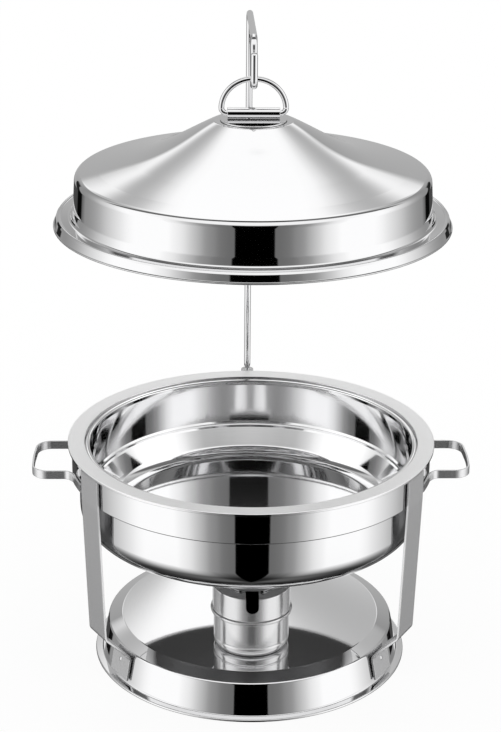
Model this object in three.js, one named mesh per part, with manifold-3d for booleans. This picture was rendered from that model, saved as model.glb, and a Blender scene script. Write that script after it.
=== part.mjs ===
// Round buffet chafing dish with a lid that hangs from a swivelling hook.
// Millimetres, +Z up, front towards -Y, origin on the ground under the dish's axis.
import * as THREE from 'three';
import { mergeVertices } from 'three/addons/utils/BufferGeometryUtils.js';
import Module from 'manifold-3d';

const wasm = await Module();
wasm.setup();

// ---- driving dimensions -------------------------------------------------------------
const TOUCH = 0.3;             // gap left where two pieces rest on each other
const SLIP = 5.8;              // running gap round a pan that lifts out
const SIDES = 48;              // facets round the big spun pieces
const SMALL_SIDES = 24;        // facets round the burner and the fasteners
const WIRE_SIDES = 10;         // facets round a bent wire

const RIM_RADIUS = 195;        // outer edge of the wide flat rim
const RIM_WIDTH = 18;
const RIM_LIP = 3.2;           // turned-down edge
const PAN_SHEET = 1;           // wall of both pans
const RIM_OVERHANG = 11.5;     // rim's outer edge beyond the water pan's wall
const PAN_DEPTH = 98.6;          // rim top to the underside of the water pan
const PAN_ROUND = 28;
const SEAT_DROP = 8;           // rim top down to the food pan's seat
const SEAT_WIDTH = 4.2;

const WATER_GAP = 9;           // between the floors of the two pans
const FOOD_STEP_HEIGHT = 31.7; // food pan's floor up to the top of its conical step
const FOOD_STEP_WIDTH = 11;
const FOOD_ROUND = 12;
const FOOD_DRAFT = 2;          // the wall closes in by this much from top to step

const BAND_DEPTH = 32.5;       // upright support band under the rim
const BAND_SHEET = 1.7;

const BASE_SETBACK = 25;       // rim's outer edge in to the base flange's edge
const BASE_FLANGE = 8;
const BASE_HEIGHT = 43.2;      // ground to the raised disc
const BASE_SHEET = 1.2;
const DISC_SETBACK = 30;       // base flange's edge in to the raised disc
const SHOULDER_DROP = 6.5;     // the conical ring round the disc
const WALL_FLARE = 6;          // the base wall leans out by this much towards its flange

const LEG_WIDTH = 36;
const LEG_SHEET = 2.4;
const LEG_LEAN = 5.5;          // the foot end stands in by this much
const LEG_KNEE = 62;           // height where the strip turns in towards the base
const LEG_ANGLES = { leg_left: 210, leg_right: 330, leg_rear: 90 };

const HANDLE_BEYOND = 38;      // rim's outer edge to the outside of a handle
const HANDLE_SPAN = 82;        // between the outsides of its two arms
const HANDLE_STRIP = 9.4;      // height of the strip
const HANDLE_SHEET = 2;
const HANDLE_CORNER = 18;
const HANDLE_BOW = 1.6;        // the grip bar bulges by this much at its middle
const HANDLE_DROP = 27;        // rim top down to the middle of the strip
const HANDLE_TAB_ARC = 9;      // degrees of band that a welded tab covers

const LID_BEYOND = 9;          // lid's rolled edge beyond the rim's
const LID_LIFT = 237.2;        // rim top up to the lid's lower edge when it hangs
const LID_HEIGHT = 107.3;      // lower edge to the flat crown
const LID_SHEET = 1;
const CROWN_RADIUS = 41.5;
const LID_FLANGE = 23;         // lid's rolled edge in to the foot of the rounded shoulder
const SHOULDER_DEPTH = 64.5;   // crown down to that place
const SHOULDER_WIDTH = 57.5;   // the rounded shoulder, measured in from its foot
const SLOPE_DROP = 40;         // crown down to where slope and shoulder meet

const PLATE_RADIUS = 34;
const PLATE_SHEET = 1.2;
const TUBE_RADIUS = 5.5;
const TUBE_LENGTH = 53;
const TUBE_BORE = 3.3;
const RING_WIRE = 2.85;        // radius of the D-ring's wire
const RING_HALF_WIDTH = 32.4;  // to the middle of the wire
const RING_RISE = 34.7;
const RING_CORNER = 5;

const ROD_WIRE = 3.6;          // radius of the hanger's rod
const ROD_BEYOND = 19;         // rim's outer edge to the rod's axis
const ROD_BEND = 11;
const ARM_RISE = 12.6;         // the arm climbs by this much towards the hook
const HOOK_THROAT = 9.6;       // clear space between the prong and the back of the hook
const PRONG_HEIGHT = 34.6;     // saddle of the hook up to the prong's tip
const HOOK_DROP = 45.8;        // arm down to the saddle
const PIN_RADIUS = 2.5;        // thin end of the rod that turns in the socket
const PIN_LENGTH = 44;
const PIN_PLAY = 0.3;

const SOCKET_HEIGHT = 44;
const SOCKET_BOSS = 7;
const SOCKET_PLATE = 3;
const SOCKET_WIDTH = 26;
const SCREW_RADIUS = 2;
const SCREW_HEAD = 3.6;

const BURNER_FORWARD = 74;     // burner's axis in front of the dish's axis
const CUP_RADIUS = 40;
const CUP_ROUND = 8;
const CUP_SHEET = 1;
const CUP_HEIGHT = 46;
const COLLAR_RISE = 24;        // cup's rim up to the collar's top
const COLLAR_LAP = 7.5;        // the collar's skirt goes down over the cup by this much
const BURNER_ROOM = 37.2;      // collar's top up to the underside of the water pan
const COLLAR_BEAD = 2.2;
const MOUTH_RADIUS = 22;
const DAMPER_RADIUS = 27.5;
const DAMPER_SHEET = 1.2;
const DAMPER_TAB = 13.4;
const DAMPER_TAB_DROP = 17;
const CAN_RADIUS = 34;
const CAN_SHORT = 2;           // the can stands this much lower than the cup

// ---- heights and radii worked out from them -----------------------------------------
const collarHeight = CUP_HEIGHT + COLLAR_RISE;   // burner's foot to the collar's top
const collarSkirt = COLLAR_RISE + COLLAR_LAP;
const canHeight = CUP_HEIGHT - CAN_SHORT;
const panBottom = BASE_HEIGHT + collarHeight + BURNER_ROOM;
const rimHeight = panBottom + PAN_DEPTH;        // ground to the rim's top
const rimInner = RIM_RADIUS - RIM_WIDTH;
const panRadius = RIM_RADIUS - RIM_OVERHANG;     // outside of the water pan's wall
const baseRadius = RIM_RADIUS - BASE_SETBACK;
const discRadius = baseRadius - DISC_SETBACK;
const handleReach = RIM_RADIUS + HANDLE_BEYOND;
const lidRadius = RIM_RADIUS + LID_BEYOND;
const domeRadius = lidRadius - LID_FLANGE;
const rodReach = RIM_RADIUS + ROD_BEYOND;        // dish's axis to the rod's axis
const seatHeight = rimHeight - SEAT_DROP;
const foodFloor = panBottom + PAN_SHEET * 1.9 + WATER_GAP;
const bandOuter = panRadius + SLIP + BAND_SHEET;
const bandTop = rimHeight - PAN_SHEET * 1.2 - TOUCH - 0.6;
const bandBottom = rimHeight - RIM_LIP - BAND_DEPTH;
const legTop = rimHeight - RIM_LIP - 2 * TOUCH;
const legOuter = bandOuter + TOUCH + LEG_SHEET;
const wallFoot = baseRadius - BASE_FLANGE;
const wallTop = wallFoot - WALL_FLARE;
const shoulderHeight = BASE_HEIGHT - SHOULDER_DROP;
const lidEdge = rimHeight + LID_LIFT;
const crownHeight = lidEdge + LID_HEIGHT;
const tubeHeight = crownHeight + TOUCH + PLATE_SHEET + TOUCH + TUBE_RADIUS;
const ringTop = tubeHeight + RING_RISE;
const saddleHeight = ringTop - RING_WIRE - TOUCH - ROD_WIRE;   // middle of the hook's wire
const pinFoot = legTop - SOCKET_HEIGHT + 4;

// ---- geometry helpers -----------------------------------------------------------------
function point(x, y) {
  return new THREE.Vector2(x, y);
}

// Points of an arc about (cx, cy), angles in degrees, both ends included.
function arc(cx, cy, radius, from, to, steps) {
  return Array.from({ length: steps + 1 }, (_, i) => {
    const angle = THREE.MathUtils.degToRad(from + (to - from) * i / steps);
    return point(cx + radius * Math.cos(angle), cy + radius * Math.sin(angle));
  });
}

function bezier(a, b, c, d, steps) {
  return new THREE.CubicBezierCurve(a, b, c, d).getPoints(steps);
}

// The path moved to its right-hand side, with mitred corners.
function offset(path, distance) {
  return path.map((here, i) => {
    const before = path[Math.max(i - 1, 0)];
    const after = path[Math.min(i + 1, path.length - 1)];
    const into = (i === 0 ? after.clone().sub(here) : here.clone().sub(before)).normalize();
    const out = (i === path.length - 1 ? into.clone() : after.clone().sub(here)).normalize();
    const normal = point(into.y + out.y, -into.x - out.x).normalize();
    const stretch = Math.max(normal.dot(point(into.y, -into.x)), 0.5);
    return here.clone().add(normal.multiplyScalar(distance / stretch));
  });
}

// Closed outline of a sheet whose one face follows the path.
function sheet(path, thickness) {
  return [...path, ...offset(path, thickness).reverse()];
}

// A body of revolution about Z from an anticlockwise (radius, height) outline.
function revolve(outline, sides) {
  const closed = outline[0].x < 1e-6 ? outline : [...outline, outline[0].clone()];
  const geometry = new THREE.LatheGeometry(closed, sides);
  geometry.rotateX(Math.PI / 2);
  return geometry;
}

function cylinder(radius, low, high, sides = SMALL_SIDES) {
  return revolve([point(0, low), point(radius, low), point(radius, high), point(0, high)], sides);
}

// An XY outline raised from one height to another.
function prism(outline, low, high, holes = []) {
  const shape = new THREE.Shape(outline);
  holes.forEach((hole) => shape.holes.push(new THREE.Path(hole)));
  const geometry = new THREE.ExtrudeGeometry(shape, { depth: high - low, bevelEnabled: false });
  geometry.translate(0, 0, low);
  return geometry;
}

// A (radius, height) outline made into a straight piece of the given width, facing +X.
function strip(outline, width) {
  const geometry = prism(outline, -width / 2, width / 2);
  geometry.rotateX(Math.PI / 2);
  return geometry;
}

function solid(geometry) {
  const bare = geometry.clone();
  bare.deleteAttribute('normal');
  bare.deleteAttribute('uv');
  const merged = mergeVertices(bare, 1e-4);
  return new wasm.Manifold(new wasm.Mesh({
    numProp: 3,
    vertProperties: new Float32Array(merged.attributes.position.array),
    triVerts: new Uint32Array(merged.index.array),
  }));
}

function geometryOf(manifold) {
  const mesh = manifold.getMesh();
  const geometry = new THREE.BufferGeometry();
  geometry.setAttribute('position', new THREE.BufferAttribute(mesh.vertProperties, 3));
  geometry.setIndex(new THREE.BufferAttribute(mesh.triVerts, 1));
  geometry.computeVertexNormals();
  return geometry;
}

// A wire's centre line with one station at each given point, so bends are fine and
// straight runs are single steps.
class BentWire extends THREE.Curve {
  constructor(stations) {
    super();
    this.stations = stations;
  }

  getPoint(u) {
    const place = u * (this.stations.length - 1);
    const low = Math.min(Math.floor(place + 1e-9), this.stations.length - 2);
    return this.stations[low].clone().lerp(this.stations[low + 1], place - low);
  }

  getPointAt(u) {
    return this.getPoint(u);
  }

  getTangentAt(u) {
    const index = Math.round(u * (this.stations.length - 1));
    const before = this.stations[Math.max(index - 1, 0)];
    const after = this.stations[Math.min(index + 1, this.stations.length - 1)];
    const into = this.stations[index].clone().sub(before).normalize();
    const out = after.clone().sub(this.stations[index]).normalize();
    return into.add(out).normalize();
  }
}

function wire(stations, radius) {
  const section = new THREE.Shape(arc(0, 0, radius, 0, 360, WIRE_SIDES).slice(0, -1));
  return new THREE.ExtrudeGeometry(section, {
    steps: stations.length - 1,
    extrudePath: new BentWire(stations),
    bevelEnabled: false,
  });
}

// ---- finishes -----------------------------------------------------------------------
const polished = () => new THREE.MeshStandardMaterial({ color: 0xd6d8da, roughness: 0.08, metalness: 1 });
const satin = () => new THREE.MeshStandardMaterial({ color: 0xcfd1d2, roughness: 0.32, metalness: 1 });
const tinplate = () => new THREE.MeshStandardMaterial({ color: 0xb9b6ae, roughness: 0.4, metalness: 1 });

const dish = new THREE.Group();
dish.name = 'chafing_dish';
// The hanger's socket stands out at the rear, so the dish moves forward by half the difference.
dish.position.y = (lidRadius - rodReach - SOCKET_BOSS) / 2;

function add(name, geometry, finish, parent = dish) {
  const mesh = new THREE.Mesh(geometry, finish());
  mesh.name = name;
  parent.add(mesh);
  return mesh;
}

// ---- base tray: an upturned pressed pan with a raised mirror disc ------------------------
function baseTray() {
  const outer = [
    point(0, BASE_HEIGHT),
    point(discRadius, BASE_HEIGHT),
    point(wallTop - 1.5, shoulderHeight),
    point(wallTop, shoulderHeight - 2),
    point(wallFoot, 5),
    point(wallFoot + 1.6, 2.6),
    point(baseRadius - 1, 2.6),
    point(baseRadius, 1.6),
    point(baseRadius, 0.8),
    point(baseRadius - 0.8, 0),
  ];
  const inner = [
    point(baseRadius - 4.5, 0),
    point(baseRadius - 4.5, 2.6 - BASE_SHEET),
    point(wallFoot + 0.4, 2.6 - BASE_SHEET),
    point(wallFoot - BASE_SHEET, 5),
    point(wallTop - BASE_SHEET, shoulderHeight - 2 - BASE_SHEET),
    point(discRadius - 0.6, BASE_HEIGHT - BASE_SHEET),
    point(0, BASE_HEIGHT - BASE_SHEET),
  ];
  return revolve([...outer, ...inner].reverse(), SIDES);
}

// ---- legs: satin strips welded outside the band and folded on to the base wall ------------
const tabLean = Math.atan2(WALL_FLARE, shoulderHeight - 7);
const tabTop = shoulderHeight - 4;
const tabFoot = 8;

// Radius of the base wall's outside at a height.
function wallRadius(height) {
  return wallFoot - Math.tan(tabLean) * (height - 5);
}

function legPath() {
  const knee = point(legOuter - LEG_LEAN, LEG_KNEE);
  const tabInner = wallRadius(tabTop) + TOUCH + LEG_SHEET;
  const tabEnd = wallRadius(tabFoot) + TOUCH + LEG_SHEET;
  const foot = point(tabInner, tabTop);
  const slope = foot.clone().sub(knee).normalize();
  const rounding = 7;
  const kneeAbove = point(knee.x + 0.15, knee.y + rounding);
  const kneeBelow = knee.clone().add(slope.clone().multiplyScalar(rounding));
  const footAbove = foot.clone().sub(slope.clone().multiplyScalar(4));
  const footBelow = point(tabInner + (tabEnd - tabInner) * 0.2, tabTop - (tabTop - tabFoot) * 0.2);
  return [
    point(tabEnd, tabFoot),
    ...new THREE.QuadraticBezierCurve(footBelow, foot, footAbove).getPoints(3),
    ...new THREE.QuadraticBezierCurve(kneeBelow, knee, kneeAbove).getPoints(4),
    point(legOuter, bandBottom),
    point(legOuter, legTop),
  ];
}

function legs() {
  const outline = sheet(legPath().reverse(), LEG_SHEET);
  for (const [name, degrees] of Object.entries(LEG_ANGLES)) {
    const leg = add(name, strip(outline, LEG_WIDTH), satin);
    leg.rotation.z = THREE.MathUtils.degToRad(degrees);
  }
}

// One small rivet head on each folded foot, sitting on the outside of the strip.
function footRivets() {
  const height = tabTop - 8;
  for (const [leg, degrees] of Object.entries(LEG_ANGLES)) {
    const turned = new THREE.Group();
    turned.rotation.z = THREE.MathUtils.degToRad(degrees);
    dish.add(turned);
    const outline = [point(0, 0), point(2.6, 0), point(2.2, 0.7), point(1.2, 1.2), point(0, 1.4)];
    const rivet = add(leg.replace('leg', 'foot_rivet'), revolve(outline, 12), polished, turned);
    rivet.position.set(wallRadius(height) + TOUCH + LEG_SHEET / Math.cos(tabLean) + TOUCH, 0, height);
    rivet.rotation.y = Math.PI / 2 - tabLean;
  }
}

// ---- support band: the upright ring that carries the water pan ----------------------------
function supportBand() {
  const inner = bandOuter - BAND_SHEET;
  const outline = [
    point(inner, bandBottom),
    point(bandOuter, bandBottom),
    point(bandOuter, bandTop),
    point(inner, bandTop),
  ];
  return revolve(outline, SIDES);
}

// ---- side handles: flat strip loops welded to the band by two curved tabs ---------------------
function handlePath() {
  const half = HANDLE_SPAN / 2;
  const seat = bandOuter + TOUCH + HANDLE_SHEET + 0.4;
  const root = THREE.MathUtils.radToDeg(Math.asin((half + 6) / seat));
  const corner = HANDLE_CORNER;
  const far = handleReach - HANDLE_BOW;
  const grip = half - corner;
  const tab = arc(0, 0, seat, root + HANDLE_TAB_ARC, root, 3);
  const rootX = Math.sqrt(seat * seat - half * half);
  const bend = new THREE.QuadraticBezierCurve(tab[3], point(rootX + 1, half), point(rootX + 9, half));
  const side = [
    ...tab.slice(0, 3),
    ...bend.getPoints(4),
    ...arc(far - corner, grip, corner, 90, 10, 6),
    point(far + HANDLE_BOW * 0.75, grip / 2),
  ];
  const mirrored = side.map((p) => point(p.x, -p.y)).reverse();
  return [...side, point(handleReach, 0), ...mirrored];
}

function handles() {
  const height = rimHeight - HANDLE_DROP;
  const outline = sheet(handlePath(), HANDLE_SHEET);
  for (const [name, turn] of [['handle_right', 0], ['handle_left', Math.PI]]) {
    const geometry = prism(outline, height - HANDLE_STRIP / 2, height + HANDLE_STRIP / 2);
    add(name, geometry, polished).rotation.z = turn;
  }
}

// ---- water pan: deep outer pan whose wide satin rim rests on the band ------------------------
function waterPan() {
  const flange = PAN_SHEET * 1.2;
  const inside = panRadius - PAN_SHEET;
  const underRim = rimHeight - flange;
  const stepOuter = rimInner + flange;
  const seatInner = rimInner - SEAT_WIDTH;
  return revolve([
    point(0, panBottom),
    ...arc(panRadius - PAN_ROUND, panBottom + PAN_ROUND, PAN_ROUND, -90, 0, 7),
    point(panRadius, underRim - 0.5),
    point(RIM_RADIUS - flange, underRim),
    point(RIM_RADIUS - flange, rimHeight - RIM_LIP),
    point(RIM_RADIUS, rimHeight - RIM_LIP),
    point(RIM_RADIUS, rimHeight - 0.6),
    point(RIM_RADIUS - 0.6, rimHeight),
    point(rimInner, rimHeight - 0.8),
    point(rimInner, seatHeight),
    point(seatInner, seatHeight),
    point(seatInner, seatHeight - flange),
    point(stepOuter, seatHeight - flange),
    point(stepOuter, underRim - 1),
    point(inside, underRim - 0.7),
    ...arc(panRadius - PAN_ROUND, panBottom + PAN_ROUND, PAN_ROUND - PAN_SHEET, 0, -90, 7),
    point(0, panBottom + PAN_SHEET),
  ], SIDES);
}

// ---- food pan: stepped inner pan with a rolled edge on the seat ------------------------------
function foodPan() {
  const edge = rimInner - 0.7;
  const wall = rimInner - SEAT_WIDTH - 1.8;
  const stepTop = foodFloor + FOOD_STEP_HEIGHT;
  const stepRadius = wall - FOOD_DRAFT;
  const lowRadius = stepRadius - FOOD_STEP_WIDTH;
  const roll = 2.1;
  const path = [
    point(0, foodFloor),
    ...arc(lowRadius - FOOD_ROUND, foodFloor + FOOD_ROUND, FOOD_ROUND, -90, 0, 4),
    point(stepRadius - 1.5, stepTop - 2),
    point(stepRadius, stepTop),
    point(wall, seatHeight - 1),
    ...arc(edge - roll, seatHeight + TOUCH + 1.6, roll, 165, 0, 4),
    point(edge, seatHeight + TOUCH + 0.2),
  ];
  return revolve(sheet(path, PAN_SHEET * 0.9).reverse(), SIDES);
}

// ---- lid: spun dome with an ogee slope, a rounded shoulder and a stepped flange ---------------
function lidPath() {
  const shoulder = crownHeight - SHOULDER_DEPTH;
  const middle = point(domeRadius - SHOULDER_WIDTH, crownHeight - SLOPE_DROP);
  const slope = 0.3;
  const ogee = bezier(
    point(CROWN_RADIUS, crownHeight),
    point(CROWN_RADIUS + 25, crownHeight - 12),
    point(middle.x - 31, middle.y + 31 * slope),
    middle,
    7,
  );
  const round = bezier(
    middle,
    point(middle.x + 31, middle.y - 31 * slope),
    point(domeRadius, shoulder + 18),
    point(domeRadius, shoulder),
    7,
  );
  const ledge = lidEdge + 11;
  return [
    point(SCREW_RADIUS + 1, crownHeight),
    ...ogee,
    ...round.slice(1),
    point(domeRadius + 2, ledge + 7),
    point(domeRadius + 4, ledge + 2),
    point(domeRadius + 8, ledge),
    point(lidRadius - 7.5, ledge - 0.5),
    point(lidRadius - 5.5, ledge + 0.8),
    point(lidRadius - 3.5, ledge - 1.5),
    point(lidRadius - 1.6, lidEdge + 2.6),
    point(lidRadius, lidEdge + 1.4),
    point(lidRadius, lidEdge),
  ];
}

// ---- lid fittings: crown plate, hinge tube, and the stud, washer and nut inside the lid ----------
function lidFittings() {
  const under = crownHeight + TOUCH;
  add('lid_plate', cylinder(PLATE_RADIUS, under, under + PLATE_SHEET, SIDES), polished);

  const barrel = [
    point(TUBE_BORE, -TUBE_LENGTH / 2),
    point(TUBE_RADIUS, -TUBE_LENGTH / 2),
    point(TUBE_RADIUS, TUBE_LENGTH / 2),
    point(TUBE_BORE, TUBE_LENGTH / 2),
  ];
  const tube = add('ring_tube', revolve(barrel, 16), polished);
  tube.rotation.y = Math.PI / 2;
  tube.position.z = tubeHeight;

  const inside = crownHeight - LID_SHEET;
  add('lid_stud', cylinder(SCREW_RADIUS, inside - 9, under - TOUCH, 12), polished);
  add('lid_washer', revolve([
    point(SCREW_RADIUS + TOUCH, inside - TOUCH - 1),
    point(7, inside - TOUCH - 1),
    point(7, inside - TOUCH),
    point(SCREW_RADIUS + TOUCH, inside - TOUCH),
  ], SMALL_SIDES), polished);
  const nutTop = inside - 2 * TOUCH - 1;
  add('lid_nut', revolve([
    point(SCREW_RADIUS + TOUCH, nutTop - 3.2),
    point(SCREW_HEAD + 0.4, nutTop - 3.2),
    point(SCREW_HEAD + 0.4, nutTop),
    point(SCREW_RADIUS + TOUCH, nutTop),
  ], 6), polished);
}

// ---- D-ring: bent wire whose two ends meet inside the hinge tube ---------------------------------
function ringStations() {
  const endGap = 1.5;
  const low = tubeHeight;
  const centre = low + RING_CORNER;
  const half = [
    point(endGap, low),
    point(TUBE_LENGTH / 4, low),
    ...arc(RING_HALF_WIDTH - RING_CORNER, centre, RING_CORNER, -90, 0, 4),
  ];
  for (let i = 1; i <= 8; i += 1) {
    const angle = Math.PI / 2 * i / 8;
    half.push(point(
      RING_HALF_WIDTH * Math.cos(angle),
      centre + (RING_RISE - RING_CORNER) * Math.sin(angle),
    ));
  }
  const other = half.slice(0, -1).map((p) => point(-p.x, p.y)).reverse();
  return [...half, ...other].map((p) => new THREE.Vector3(p.x, 0, p.y));
}

// ---- hanger: one round rod bent into an arm and an open hook --------------------------------------
// Rounds the corners of a polyline of (y, z) points, each to its own radius.
function rounded(corners, steps) {
  const path = [corners[0].at];
  for (let i = 1; i < corners.length - 1; i += 1) {
    const { at, radius } = corners[i];
    const into = at.clone().sub(corners[i - 1].at).normalize();
    const out = corners[i + 1].at.clone().sub(at).normalize();
    const turn = Math.acos(THREE.MathUtils.clamp(into.dot(out), -1, 1));
    const back = radius * Math.tan(turn / 2);
    const start = at.clone().sub(into.clone().multiplyScalar(back));
    const side = Math.sign(into.x * out.y - into.y * out.x);
    const centre = start.clone().add(point(-into.y, into.x).multiplyScalar(side * radius));
    for (let k = 0; k <= steps; k += 1) {
      const spoke = start.clone().sub(centre).rotateAround(point(0, 0), side * turn * k / steps);
      path.push(centre.clone().add(spoke));
    }
  }
  path.push(corners[corners.length - 1].at);
  return path;
}

function hanger() {
  const legOffset = HOOK_THROAT / 2 + ROD_WIRE;
  const armEnd = saddleHeight + HOOK_DROP;
  const path = rounded([
    { at: point(rodReach, pinFoot + PIN_LENGTH - 1) },
    { at: point(rodReach, armEnd - ARM_RISE), radius: ROD_BEND },
    { at: point(legOffset, armEnd), radius: ROD_BEND },
    { at: point(legOffset, saddleHeight + legOffset) },
  ], 5);
  const saddle = arc(0, saddleHeight + legOffset, legOffset, 0, -180, 8).slice(1);
  const tip = point(-legOffset, saddleHeight + PRONG_HEIGHT);
  const stations = [...path, ...saddle, tip].map((p) => new THREE.Vector3(0, p.x, p.y));
  const shoulder = pinFoot + PIN_LENGTH;
  const pin = revolve([
    point(0, pinFoot),
    point(PIN_RADIUS, pinFoot),
    point(PIN_RADIUS, shoulder - 5),
    point(ROD_WIRE - 0.1, shoulder - 2),
    point(ROD_WIRE - 0.1, shoulder + 2),
    point(0, shoulder + 2),
  ], WIRE_SIDES);
  pin.translate(0, rodReach, 0);
  return geometryOf(solid(wire(stations, ROD_WIRE)).add(solid(pin)));
}

// ---- socket: a boss on a plate, screwed to the rear leg, with a blind hole for the rod's pin ---------
function socket() {
  const face = legOuter + TOUCH;
  const low = legTop - SOCKET_HEIGHT;
  const boss = [
    point(-SOCKET_WIDTH / 2, face),
    point(SOCKET_WIDTH / 2, face),
    point(SOCKET_WIDTH / 2, face + SOCKET_PLATE),
    point(SOCKET_BOSS, face + SOCKET_PLATE),
    ...arc(0, rodReach, SOCKET_BOSS, 0, 180, 10),
    point(-SOCKET_BOSS, face + SOCKET_PLATE),
    point(-SOCKET_WIDTH / 2, face + SOCKET_PLATE),
  ];
  const hole = cylinder(PIN_RADIUS + PIN_PLAY, pinFoot - TOUCH, legTop + 5, WIRE_SIDES);
  hole.translate(0, rodReach, 0);
  return geometryOf(solid(prism(boss, low, legTop - 1)).subtract(solid(hole)));
}

function socketScrews() {
  const face = legOuter + TOUCH + SOCKET_PLATE + TOUCH;
  const middle = legTop - SOCKET_HEIGHT / 2;
  for (const [name, side] of [['socket_screw_left', -1], ['socket_screw_right', 1]]) {
    const outline = [point(0, 0), point(SCREW_RADIUS, 0), point(SCREW_RADIUS * 0.8, 1.1), point(0, 1.5)];
    const screw = add(name, revolve(outline, 12), polished);
    screw.rotation.x = -Math.PI / 2;
    screw.position.set(side * (SOCKET_BOSS + SOCKET_WIDTH / 2) / 2, face, middle);
  }
}

// ---- burner: free-standing fuel holder ---------------------------------------------------------------
const burner = new THREE.Group();
burner.position.set(0, -BURNER_FORWARD, BASE_HEIGHT + TOUCH);
dish.add(burner);

function burnerCup() {
  const inside = CUP_RADIUS - CUP_SHEET;
  return revolve([
    point(0, 0),
    ...arc(CUP_RADIUS - CUP_ROUND, CUP_ROUND, CUP_ROUND, -90, 0, 3),
    point(CUP_RADIUS, CUP_HEIGHT),
    point(inside, CUP_HEIGHT),
    ...arc(CUP_RADIUS - CUP_ROUND, CUP_ROUND, CUP_ROUND - CUP_SHEET, 0, -90, 3),
    point(0, CUP_SHEET),
  ], SMALL_SIDES);
}

function burnerCollar() {
  const inner = CUP_RADIUS + TOUCH;
  const outer = inner + CUP_SHEET;
  const low = collarHeight - collarSkirt;
  return revolve([
    point(inner, low),
    point(outer, low),
    point(outer + COLLAR_BEAD, low + 1.6),
    point(outer + COLLAR_BEAD, low + 3.4),
    point(outer, low + 5),
    point(outer, collarHeight - 1),
    point(outer - 1, collarHeight),
    point(MOUTH_RADIUS, collarHeight),
    point(MOUTH_RADIUS, collarHeight - CUP_SHEET),
    point(inner, collarHeight - CUP_SHEET),
  ], SMALL_SIDES);
}

// Flat cover that swings on the rear rivet; its tongue folds down over the collar's front.
const rivetBack = CUP_RADIUS - 7;

function burnerDamper() {
  const low = collarHeight + TOUCH;
  const front = -(CUP_RADIUS + TOUCH + CUP_SHEET + 1.5);
  const half = DAMPER_TAB / 2;
  const tongueStart = THREE.MathUtils.radToDeg(Math.asin(half / DAMPER_RADIUS));
  const ear = 6;
  const earStart = THREE.MathUtils.radToDeg(Math.asin(ear / DAMPER_RADIUS));
  const cover = [
    point(-half, front - DAMPER_SHEET),
    point(half, front - DAMPER_SHEET),
    ...arc(0, 0, DAMPER_RADIUS, -90 + tongueStart, 90 - earStart, 10),
    ...arc(0, rivetBack, ear, 0, 180, 6),
    ...arc(0, 0, DAMPER_RADIUS, 90 + earStart, 270 - tongueStart, 10),
  ];
  const hole = arc(0, rivetBack, SCREW_RADIUS + PIN_PLAY, 360, 0, 12).slice(1);
  const flat = prism(cover, low, low + DAMPER_SHEET, [hole]);
  const drop = low + DAMPER_SHEET - DAMPER_TAB_DROP;
  const tab = strip([
    point(-half, low + DAMPER_SHEET),
    ...arc(0, drop + half, half, 180, 360, 8),
    point(half, low + DAMPER_SHEET),
  ], DAMPER_SHEET);
  tab.translate(0, front - DAMPER_SHEET / 2, 0);
  return geometryOf(solid(flat).add(solid(tab)));
}

function damperRivet() {
  const under = collarHeight + TOUCH;
  const top = under + DAMPER_SHEET + TOUCH;
  const rivet = revolve([
    point(0, under),
    point(SCREW_RADIUS, under),
    point(SCREW_RADIUS, top),
    point(SCREW_HEAD, top),
    point(SCREW_HEAD * 0.7, top + 1),
    point(0, top + 1.3),
  ], 12);
  rivet.translate(0, rivetBack, 0);
  return rivet;
}

function fuelCan() {
  const low = CUP_SHEET + TOUCH;
  const high = low + canHeight;
  const mouth = MOUTH_RADIUS - 3;
  return revolve([
    point(0, low),
    point(CAN_RADIUS - 3, low),
    point(CAN_RADIUS, low + 3),
    point(CAN_RADIUS, high),
    point(CAN_RADIUS - 1.5, high),
    point(CAN_RADIUS - 1.5, high - 2),
    point(mouth, high - 2),
    point(mouth, high - 8),
    point(0, high - 8),
  ], SMALL_SIDES);
}

// ---- assembly -------------------------------------------------------------------------------------------
add('base_tray', baseTray(), polished);
legs();
footRivets();
add('support_band', supportBand(), polished);
handles();
add('rod_socket', socket(), satin);
socketScrews();
add('water_pan', waterPan(), satin);
add('food_pan', foodPan(), polished);
add('burner_cup', burnerCup(), polished, burner);
add('burner_collar', burnerCollar(), polished, burner);
add('burner_damper', burnerDamper(), polished, burner);
add('damper_rivet', damperRivet(), polished, burner);
add('fuel_can', fuelCan(), tinplate, burner);
add('lid_shell', revolve(sheet(lidPath(), LID_SHEET).reverse(), SIDES), polished);
lidFittings();
add('d_ring', wire(ringStations(), RING_WIRE), polished);
add('hanger_rod', hanger(), polished);

export default dish;
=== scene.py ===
import math

import bpy
from mathutils import Matrix, Vector


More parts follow.
